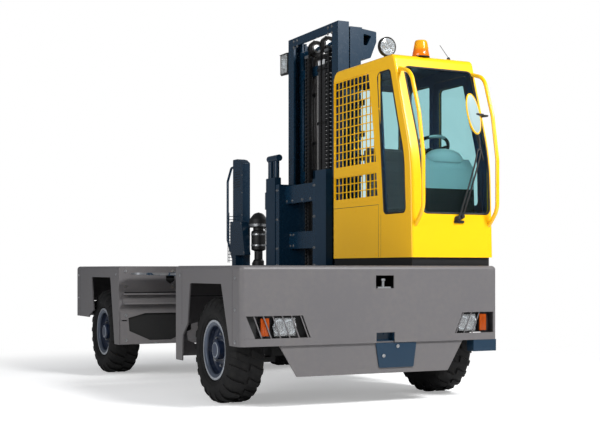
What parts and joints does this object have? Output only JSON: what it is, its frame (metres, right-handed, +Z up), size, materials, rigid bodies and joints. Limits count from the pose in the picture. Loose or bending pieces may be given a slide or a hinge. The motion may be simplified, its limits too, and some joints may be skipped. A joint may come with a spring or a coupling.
{
  "type": "sideloader",
  "caption": "Side-loading forklift truck with a driver's cab at the front left, a reach mast in a well across the middle, load decks fore and aft and an engine hood that opens.",
  "frame": {"origin": "centre of the bounding box at ground level, between the wheels", "axes": "+X towards the front of the truck, +Y towards the cab side, away from the load, +Z up"},
  "size_m": [4.65, 2.38, 3.4829],
  "materials": {
    "deck_grey": "satin grey body paint",
    "cab_yellow": "gloss yellow cab paint",
    "mast_blue": "satin dark blue mast paint",
    "frame_black": "satin black chassis paint",
    "rim_silver": "silver wheel paint",
    "bright_steel": "ground and oiled steel",
    "engine_iron": "painted casting",
    "tyre_rubber": "moulded black rubber",
    "black_plastic": "grained black moulding",
    "seat_fabric": "woven dark seat cover",
    "cab_glazing": "lightly tinted safety glass",
    "lamp_clear": "clear ribbed lens",
    "lamp_amber": "amber moulded lens"
  },
  "bodies": {
    "chassis": {"air_cleaner": "black_plastic", "backbone": "frame_black", "beacon": "lamp_amber", "cab_floor": "frame_black", "cab_frame": "cab_yellow", "cab_front_panel": "cab_yellow", "cab_glass": "cab_glazing", "cab_roof": "cab_yellow", "cab_side_guard": "cab_yellow", "cab_steps": "frame_black", "dashboard": "black_plastic", "deck_handrail": "mast_blue", "engine_block": "engine_iron", "exhaust_stack": "mast_blue", "front_axle": "frame_black", "front_cab_skirt": "deck_grey", "front_deck": "deck_grey", "front_fascia": "deck_grey", "front_frame": "frame_black", "front_load_skirt": "deck_grey", "front_step": "mast_blue", "front_well_wall": "deck_grey", "fuel_tank": "frame_black", "grab_bars": "cab_yellow", "headlamps": "lamp_clear", "oil_tank": "frame_black", "rear_axle": "frame_black", "rear_cab_skirt": "deck_grey", "rear_deck": "deck_grey", "rear_fascia": "deck_grey", "rear_frame": "frame_black", "rear_load_skirt": "deck_grey", "rear_well_wall": "deck_grey", "roof_work_lamp": "black_plastic", "seat": "seat_fabric", "side_sill": "deck_grey", "tow_pin": "bright_steel", "windshield": "cab_glazing"},
    "engine_lid": {"engine_hood": "deck_grey"},
    "door": {"cab_door": "cab_yellow", "door_glass": "cab_glazing"},
    "mast_base": {"mast_carriage": "mast_blue", "fixed_mast": "mast_blue", "mast_work_lamp": "black_plastic", "lift_cylinders": "mast_blue"},
    "mast_inner": {"moving_mast": "mast_blue", "lift_rods": "bright_steel", "lift_chains": "bright_steel"},
    "lift_carriage": {"fork_carriage": "mast_blue"},
    "fork_arms": {"forks": "mast_blue"},
    "left_steer": {"left_knuckle": "frame_black"},
    "right_steer": {"right_knuckle": "frame_black"},
    "front_left_wheel": {"front_left_rim": "rim_silver", "front_left_tyre": "tyre_rubber"},
    "front_right_wheel": {"front_right_rim": "rim_silver", "front_right_tyre": "tyre_rubber"},
    "rear_left_wheel": {"rear_left_rim": "rim_silver", "rear_left_tyre": "tyre_rubber"},
    "rear_right_wheel": {"rear_right_rim": "rim_silver", "rear_right_tyre": "tyre_rubber"}
  },
  "joints": [
    {"name": "mast_reach", "type": "slide", "parent": "chassis", "child": "mast_base", "axis": [0, -1, 0], "range_m": [0, 1.15]},
    {"name": "mast_lift", "type": "slide", "parent": "mast_base", "child": "mast_inner", "axis": [0, 0, 1], "range_m": [0, 1.4]},
    {"name": "carriage_lift", "type": "slide", "parent": "mast_inner", "child": "lift_carriage", "axis": [0, 0, 1], "range_m": [0, 1.4]},
    {"name": "fork_tilt", "type": "hinge", "parent": "lift_carriage", "child": "fork_arms", "pos_m": [0, 0.505, 1.85], "axis": [1, 0, 0], "range_deg": [-5, 4]},
    {"name": "left_steering", "type": "hinge", "parent": "chassis", "child": "left_steer", "pos_m": [1.58, 0.78, 0.433], "axis": [0, 0, 1], "range_deg": [-30, 30]},
    {"name": "right_steering", "type": "hinge", "parent": "chassis", "child": "right_steer", "pos_m": [1.58, -0.78, 0.433], "axis": [0, 0, 1], "range_deg": [-30, 30]},
    {"name": "front_left_spin", "type": "hinge", "parent": "left_steer", "child": "front_left_wheel", "pos_m": [1.58, 0.99, 0.433], "axis": [0, 1, 0], "continuous": true},
    {"name": "front_right_spin", "type": "hinge", "parent": "right_steer", "child": "front_right_wheel", "pos_m": [1.58, -0.99, 0.433], "axis": [0, 1, 0], "continuous": true},
    {"name": "rear_left_spin", "type": "hinge", "parent": "chassis", "child": "rear_left_wheel", "pos_m": [-1.515, 0.99, 0.433], "axis": [0, 1, 0], "continuous": true},
    {"name": "rear_right_spin", "type": "hinge", "parent": "chassis", "child": "rear_right_wheel", "pos_m": [-1.515, -0.99, 0.433], "axis": [0, 1, 0], "continuous": true},
    {"name": "door_swing", "type": "hinge", "parent": "chassis", "child": "door", "pos_m": [1.319, 1.179, 2], "axis": [0, 0, 1], "range_deg": [0, 95]},
    {"name": "hood_lift", "type": "hinge", "parent": "chassis", "child": "engine_lid", "pos_m": [-1.655, 1.102, 1.135], "axis": [-1, 0, 0], "range_deg": [0, 80]}
  ],
  "couplings": [
    {"joint": "carriage_lift", "follows": "mast_lift", "ratio": 1},
    {"joint": "right_steering", "follows": "left_steering", "ratio": 1}
  ]
}
